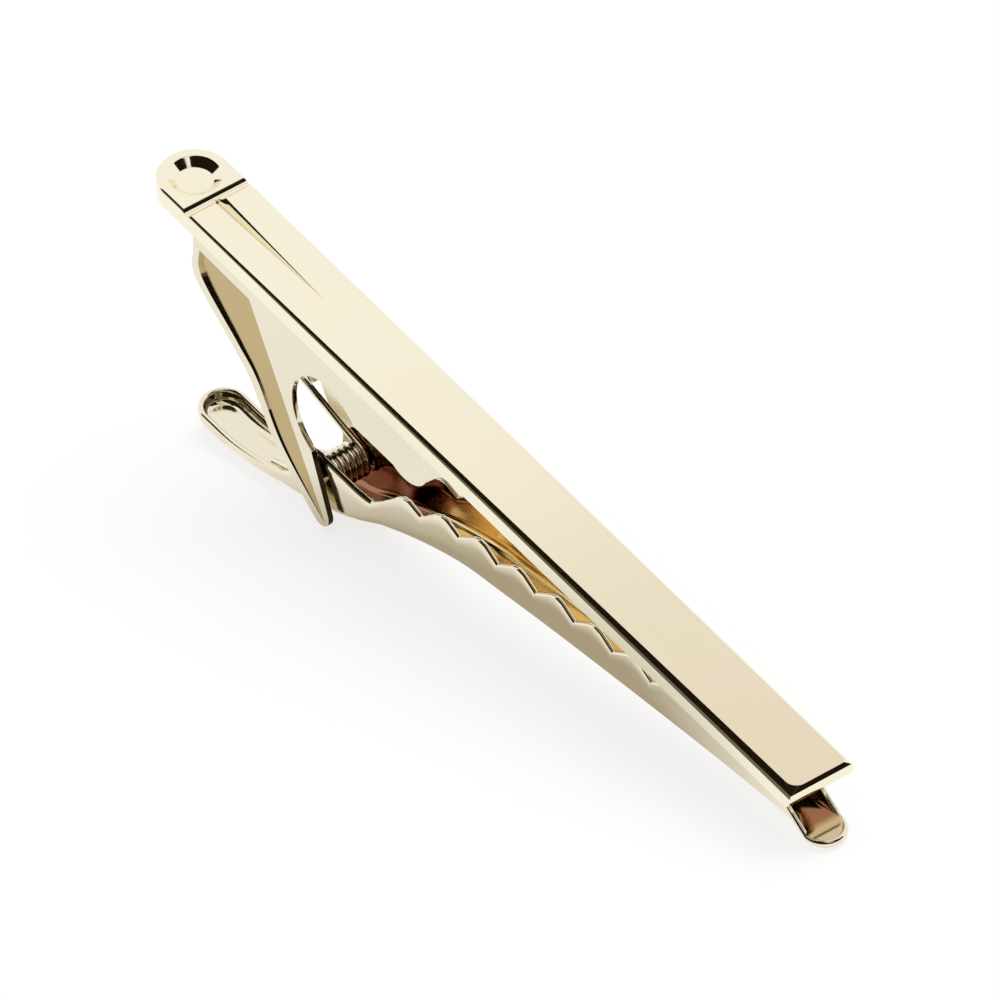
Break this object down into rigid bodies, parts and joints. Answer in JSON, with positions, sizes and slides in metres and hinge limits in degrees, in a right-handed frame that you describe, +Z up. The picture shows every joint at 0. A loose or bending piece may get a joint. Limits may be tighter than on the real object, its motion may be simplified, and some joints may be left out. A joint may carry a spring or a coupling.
{
  "type": "tie clip",
  "caption": "Slim polished tie clip: a flat front bar with a sprung, toothed alligator jaw on a folded bracket behind it.",
  "frame": {"origin": "on the table surface, at the middle of the clip's footprint box; the clip stands on the two feet of its bracket and on the tip of its jaw", "axes": "+X along the clip from its round end and thumb tab towards the square end and jaw tip, +Y across it, +Z up; the front bar slopes down towards +X by about 13.5 degrees and its front face looks up"},
  "size_m": [0.0578, 0.0042, 0.0178],
  "materials": {
    "front_gold": "mirror polished, pale gold plated",
    "bracket_gold": "bright, pale gold plated",
    "jaw_gold": "bright, pale gold plated",
    "spring_steel": "bright plated spring wire",
    "pin_gold": "bright, pale gold plated"
  },
  "bodies": {
    "clip_body": {"front_bar": "front_gold", "clip_bracket": "bracket_gold", "torsion_spring": "spring_steel", "pivot_pin": "pin_gold"},
    "jaw": {"jaw_lever": "jaw_gold"}
  },
  "joints": [
    {"name": "jaw_pivot", "type": "hinge", "parent": "clip_body", "child": "jaw", "pos_m": [-0.01571, 0, 0.0031], "axis": [0, 1, 0], "range_deg": [0, 30], "stiffness_Nm_per_rad": 0.004, "springref_deg": -20.05, "deforming": ["torsion_spring"]}
  ]
}
